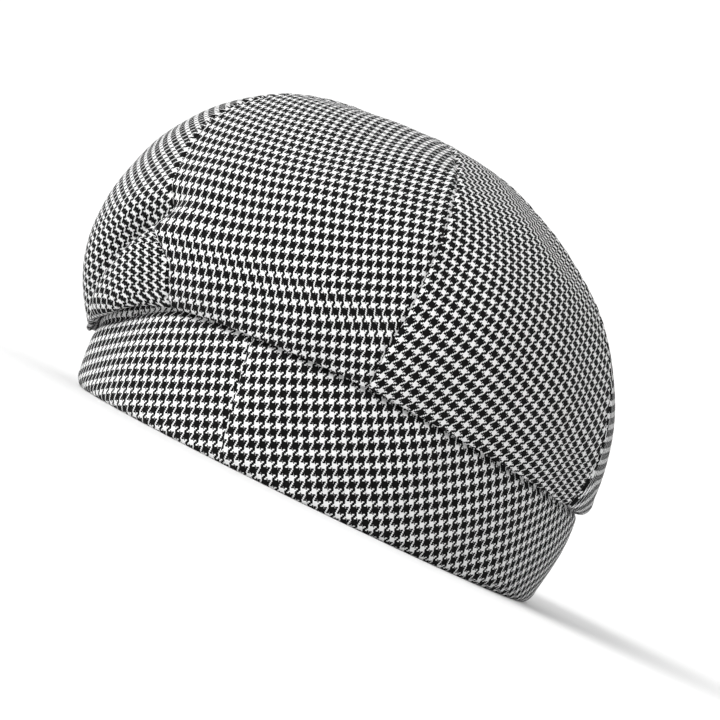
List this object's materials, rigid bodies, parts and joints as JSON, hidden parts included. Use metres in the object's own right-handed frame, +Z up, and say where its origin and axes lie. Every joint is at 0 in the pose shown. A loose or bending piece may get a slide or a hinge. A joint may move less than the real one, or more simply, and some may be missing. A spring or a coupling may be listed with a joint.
{
  "type": "slouch beanie",
  "caption": "Slouch beanie of woven houndstooth cloth: a sewn, gored crown that rolls over a plain band with a plump turned-in rim, lined inside with charcoal felt.",
  "frame": {"origin": "on the surface that the hat rests on, under the middle of its box", "axes": "+Z up from the rim to the top of the crown, -Y towards the front, +X to the right as seen from the front"},
  "size_m": [0.215, 0.2194, 0.1428],
  "materials": {
    "houndstooth_cloth": "matte woven wool in a small black and white houndstooth",
    "lining_felt": "matte charcoal felt, slightly mottled"
  },
  "bodies": {
    "root": {"crown_panel_1": "houndstooth_cloth", "crown_panel_2": "houndstooth_cloth", "crown_panel_3": "houndstooth_cloth", "crown_panel_4": "houndstooth_cloth", "crown_panel_5": "houndstooth_cloth", "crown_panel_6": "houndstooth_cloth", "band": "houndstooth_cloth", "lining": "lining_felt"}
  },
  "joints": []
}
